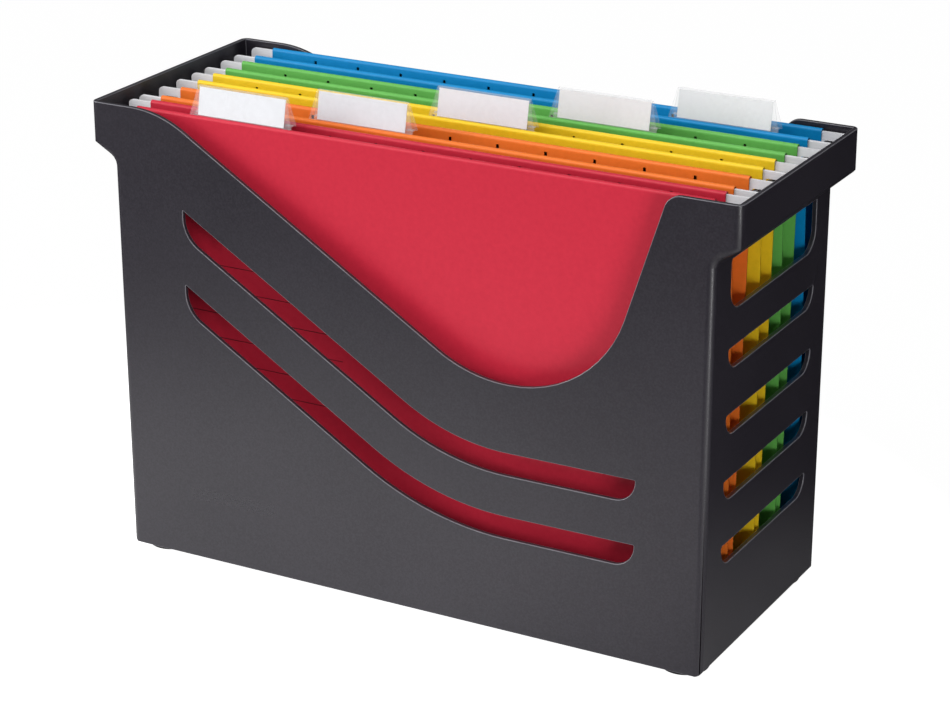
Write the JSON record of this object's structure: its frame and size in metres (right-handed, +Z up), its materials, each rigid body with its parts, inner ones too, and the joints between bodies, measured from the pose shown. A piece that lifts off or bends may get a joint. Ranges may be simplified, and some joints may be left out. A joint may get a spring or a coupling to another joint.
{
  "type": "portable file box",
  "caption": "Open-topped file box with swept cut-outs, a flared rim with hand holes, and coloured hanging files with clear index tabs.",
  "frame": {"origin": "on the table under the middle of the box, in the plane of its feet", "axes": "+X along the box to the side where the front dips lowest, +Y from the front to the back, +Z up"},
  "size_m": [0.36, 0.143, 0.2583],
  "materials": {
    "tub_plastic": "fine satin texture, charcoal",
    "foot_rubber": "smooth, black",
    "rail_plastic": "smooth, pale grey",
    "tab_plastic": "clear flexible plastic",
    "label_paper": "plain slip, no print",
    "red_card": "smooth coloured card",
    "orange_card": "smooth coloured card",
    "yellow_card": "smooth coloured card",
    "green_card": "smooth coloured card",
    "blue_card": "smooth coloured card"
  },
  "bodies": {
    "base": {"tub": "tub_plastic", "foot_front_left": "foot_rubber", "foot_front_right": "foot_rubber", "foot_back_left": "foot_rubber", "foot_back_right": "foot_rubber"},
    "red_file": {"red_back_card": "red_card", "red_back_rail": "rail_plastic"},
    "red_flap": {"red_front_card": "red_card", "red_front_rail": "rail_plastic", "red_tab": "tab_plastic"},
    "red_slip": {"red_label": "label_paper"},
    "orange_file": {"orange_back_card": "orange_card", "orange_back_rail": "rail_plastic"},
    "orange_flap": {"orange_front_card": "orange_card", "orange_front_rail": "rail_plastic", "orange_tab": "tab_plastic"},
    "orange_slip": {"orange_label": "label_paper"},
    "yellow_file": {"yellow_back_card": "yellow_card", "yellow_back_rail": "rail_plastic"},
    "yellow_flap": {"yellow_front_card": "yellow_card", "yellow_front_rail": "rail_plastic", "yellow_tab": "tab_plastic"},
    "yellow_slip": {"yellow_label": "label_paper"},
    "green_file": {"green_back_card": "green_card", "green_back_rail": "rail_plastic"},
    "green_flap": {"green_front_card": "green_card", "green_front_rail": "rail_plastic", "green_tab": "tab_plastic"},
    "green_slip": {"green_label": "label_paper"},
    "blue_file": {"blue_back_card": "blue_card", "blue_back_rail": "rail_plastic"},
    "blue_flap": {"blue_front_card": "blue_card", "blue_front_rail": "rail_plastic", "blue_tab": "tab_plastic"},
    "blue_slip": {"blue_label": "label_paper"}
  },
  "joints": [
    {"name": "red_lift", "type": "slide", "parent": "base", "child": "red_file", "axis": [0, 0, 1], "range_m": [0, 0.26]},
    {"name": "red_open", "type": "hinge", "parent": "red_file", "child": "red_flap", "pos_m": [0.0025, -0.05711, 0.0115], "axis": [1, 0, 0], "range_deg": [-2.1, 1.2]},
    {"name": "red_slip_slide", "type": "slide", "parent": "red_flap", "child": "red_slip", "axis": [1, 0, 0], "range_m": [0, 0.052]},
    {"name": "orange_lift", "type": "slide", "parent": "base", "child": "orange_file", "axis": [0, 0, 1], "range_m": [0, 0.26]},
    {"name": "orange_open", "type": "hinge", "parent": "orange_file", "child": "orange_flap", "pos_m": [0.0025, -0.03276, 0.0115], "axis": [1, 0, 0], "range_deg": [-3.3, 1.3]},
    {"name": "orange_slip_slide", "type": "slide", "parent": "orange_flap", "child": "orange_slip", "axis": [-1, 0, 0], "range_m": [0, 0.052]},
    {"name": "yellow_lift", "type": "slide", "parent": "base", "child": "yellow_file", "axis": [0, 0, 1], "range_m": [0, 0.26]},
    {"name": "yellow_open", "type": "hinge", "parent": "yellow_file", "child": "yellow_flap", "pos_m": [0.0025, -0.00088, 0.0115], "axis": [1, 0, 0], "range_deg": [-2.5, 2.2]},
    {"name": "yellow_slip_slide", "type": "slide", "parent": "yellow_flap", "child": "yellow_slip", "axis": [-1, 0, 0], "range_m": [0, 0.052]},
    {"name": "green_lift", "type": "slide", "parent": "base", "child": "green_file", "axis": [0, 0, 1], "range_m": [0, 0.26]},
    {"name": "green_open", "type": "hinge", "parent": "green_file", "child": "green_flap", "pos_m": [0.0025, 0.02631, 0.0115], "axis": [1, 0, 0], "range_deg": [-2.9, 1.8]},
    {"name": "green_slip_slide", "type": "slide", "parent": "green_flap", "child": "green_slip", "axis": [-1, 0, 0], "range_m": [0, 0.052]},
    {"name": "blue_lift", "type": "slide", "parent": "base", "child": "blue_file", "axis": [0, 0, 1], "range_m": [0, 0.26]},
    {"name": "blue_open", "type": "hinge", "parent": "blue_file", "child": "blue_flap", "pos_m": [0.0025, 0.05584, 0.0115], "axis": [1, 0, 0], "range_deg": [-3.3, 2]},
    {"name": "blue_slip_slide", "type": "slide", "parent": "blue_flap", "child": "blue_slip", "axis": [-1, 0, 0], "range_m": [0, 0.052]}
  ]
}
